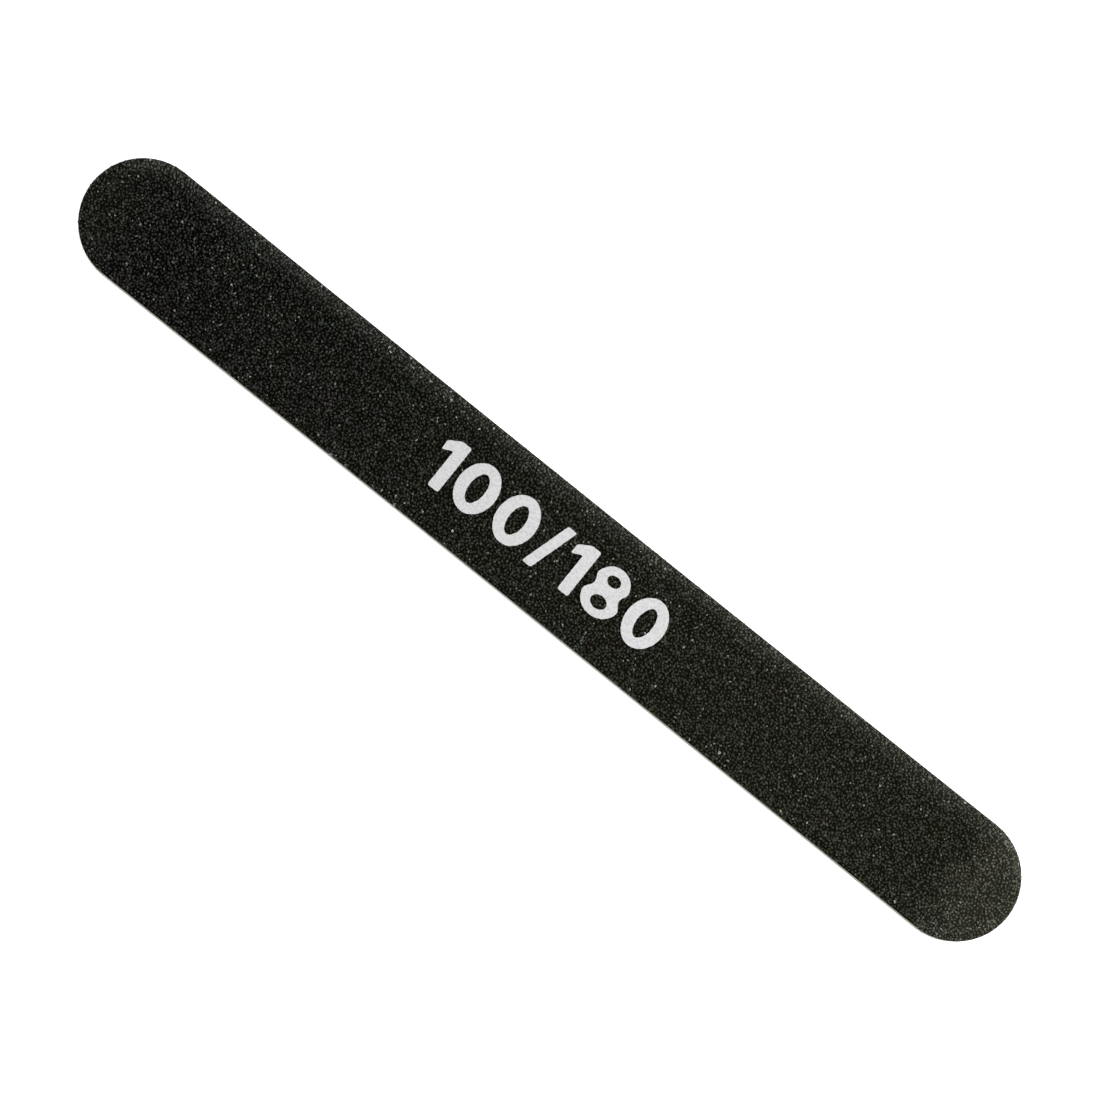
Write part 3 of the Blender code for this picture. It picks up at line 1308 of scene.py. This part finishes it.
def lay_floor(settings):
    """A wide floor just under the lowest grains."""
    shape = bmesh.new()
    bmesh.ops.create_grid(shape, x_segments=1, y_segments=1, size=FLOOR_SIDE / 2)
    floor = modelled("floor", shape)
    floor.data.materials.append(floor_finish(settings))
    floor.location.z = -FLOOR_DROP


def hang(name, kind, energy, place):
    """A light of this kind at a place, turned to the board."""
    light = bpy.data.lights.new(name, kind)
    light.energy = energy
    holder = new_object(name, light)
    holder.location = place
    holder.rotation_mode = "QUATERNION"
    holder.rotation_quaternion = (-Vector(place)).to_track_quat("-Z", "Y")
    return light


def light_room(scene, settings):
    """A key beyond the right tip, a broad fill from above and a pale room."""
    key = hang("Key", "AREA", settings.key, KEY_PLACE)
    key.shape = "RECTANGLE"
    key.size = key.size_y = KEY_SIDE
    hang("Fill", "SUN", settings.fill, FILL_PLACE).angle = FILL_SPREAD
    world = bpy.data.worlds.new("Room")
    scene.world = world
    world.use_nodes = True
    tree = world.node_tree
    tree.nodes.clear()
    strength = by_viewer(tree, settings.surroundings, 1.0)
    room = add("ShaderNodeBackground", {"Color": WHITE, "Strength": strength})
    add("ShaderNodeOutputWorld", {"Surface": room.outputs[0]})
    scene.view_settings.view_transform = "Standard"
    scene.view_settings.look = "None"


# Operators


class NAILFILE_OT_sheets(bpy.types.Operator):
    """Finish the resin coats, backing papers and adhesive films"""

    bl_idname = "nail_file.sheets"
    bl_label = "Papers, films and resin"

    def execute(self, context):
        board = context.scene.nail_file
        paper = paper_finish(board.sheets)
        adhesive = adhesive_finish(board.sheets)
        for side, face in (("upper", board.coarse), ("lower", board.fine)):
            resin = resin_finish(f"{side} resin", board.sheets.resin, face)
            finish_node(f"{side}_resin_coat", resin)
            finish_node(f"{side}_backing_paper", paper)
            finish_node(f"{side}_paper_adhesive", adhesive)
            finish_node(f"{side}_core_adhesive", adhesive)
        return {"FINISHED"}


class NAILFILE_OT_foam(bpy.types.Operator):
    """Cut the two foam cushions, with open bubbles along their walls"""

    bl_idname = "nail_file.foam"
    bl_label = "Foam cushions"

    def execute(self, context):
        settings = context.scene.nail_file.foam
        values = {
            "Pit width": settings.cell,
            "Pit depth": settings.pit,
            "Drawn out": 1.0,
            "Finish": foam_finish(settings),
        }
        for side, facing in (("upper", 1), ("lower", -1)):
            node = f"{side}_foam_cushion"
            rings = cushion_rings(node, facing, settings.draw, settings.row)
            foam = cut_solid(f"{side}_foam", rings, FOAM_PITCH * settings.row, values)
            join_board(foam, node)
        return {"FINISHED"}


class NAILFILE_OT_core(bpy.types.Operator):
    """Cut the stiff core strip, with the die's marks down its edge"""

    bl_idname = "nail_file.core"
    bl_label = "Core strip"

    def execute(self, context):
        settings = context.scene.nail_file.core
        values = {
            "Pit width": CORE_MARK,
            "Pit depth": settings.tear,
            "Drawn out": CORE_MARK_RISE,
            "Finish": core_finish(settings),
        }
        low, high = cut_edge("core_strip")
        rows = round((high - low) / settings.row)
        rings = [(0.0, low + (high - low) * row / rows) for row in range(rows + 1)]
        core = cut_solid("core", rings, settings.row, values)
        join_board(core, "core_strip")
        return {"FINISHED"}


class NAILFILE_OT_grit(bpy.types.Operator):
    """Lay loose grain on both faces"""

    bl_idname = "nail_file.grit"
    bl_label = "Grit coats"

    def execute(self, context):
        for kind, side, facing in (("coarse", "upper", 1), ("fine", "lower", -1)):
            settings = getattr(context.scene.nail_file, kind)
            material = grit_finish(f"{kind} grit", settings, creased=kind == "coarse")
            lay_grit(settings, kind, side, facing, material)
        return {"FINISHED"}


class NAILFILE_OT_print(bpy.types.Operator):
    """Print the grade numbers on the coarse face"""

    bl_idname = "nail_file.print"
    bl_label = "Grade numbers"

    def execute(self, context):
        settings = context.scene.nail_file.mark
        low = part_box("upper_resin_coat")[1].z
        film = ink_film(settings, low, BOARD_HEIGHT + settings.proud)
        film.data.materials.append(ink_finish(settings))
        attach(film, BODY)
        return {"FINISHED"}


class NAILFILE_OT_stage(bpy.types.Operator):
    """Set the camera, the floor and the lights"""

    bl_idname = "nail_file.stage"
    bl_label = "Stage"

    def execute(self, context):
        settings = context.scene.nail_file.stage
        place_camera(context.scene, settings)
        lay_floor(settings)
        light_room(context.scene, settings)
        return {"FINISHED"}


class NAILFILE_PT_panel(bpy.types.Panel):
    """Lists the steps that dress the nail file, with their settings"""

    bl_idname = "NAILFILE_PT_panel"
    bl_label = "Nail File"
    bl_space_type = "VIEW_3D"
    bl_region_type = "UI"
    bl_category = "Nail File"

    def draw(self, context):
        settings = context.scene.nail_file
        for operator, groups in STEPS:
            box = self.layout.box()
            box.operator(operator.bl_idname)
            for name in groups:
                part = getattr(settings, name)
                for key in part.__annotations__:
                    box.prop(part, key)


STEPS = (
    (NAILFILE_OT_sheets, ("sheets",)),
    (NAILFILE_OT_foam, ("foam",)),
    (NAILFILE_OT_core, ("core",)),
    (NAILFILE_OT_grit, ("coarse", "fine")),
    (NAILFILE_OT_print, ("mark",)),
    (NAILFILE_OT_stage, ("stage",)),
)

CLASSES = (
    CoarseGritSettings,
    FineGritSettings,
    FoamSettings,
    CoreSettings,
    SheetSettings,
    PrintSettings,
    StageSettings,
    NailFileSettings,
    *(operator for operator, _ in STEPS),
    NAILFILE_PT_panel,
)


def register():
    """Makes the classes known to Blender."""
    for made in CLASSES:
        bpy.utils.register_class(made)
    bpy.types.Scene.nail_file = PointerProperty(type=NailFileSettings)


def unregister():
    """Undoes register."""
    del bpy.types.Scene.nail_file
    for made in reversed(CLASSES):
        bpy.utils.unregister_class(made)


def main():
    """Dresses the board and sets the stage."""
    register()
    bpy.ops.nail_file.sheets()
    bpy.ops.nail_file.foam()
    bpy.ops.nail_file.core()
    bpy.ops.nail_file.grit()
    bpy.ops.nail_file.print()
    bpy.ops.nail_file.stage()


if __name__ == "__main__":
    main()
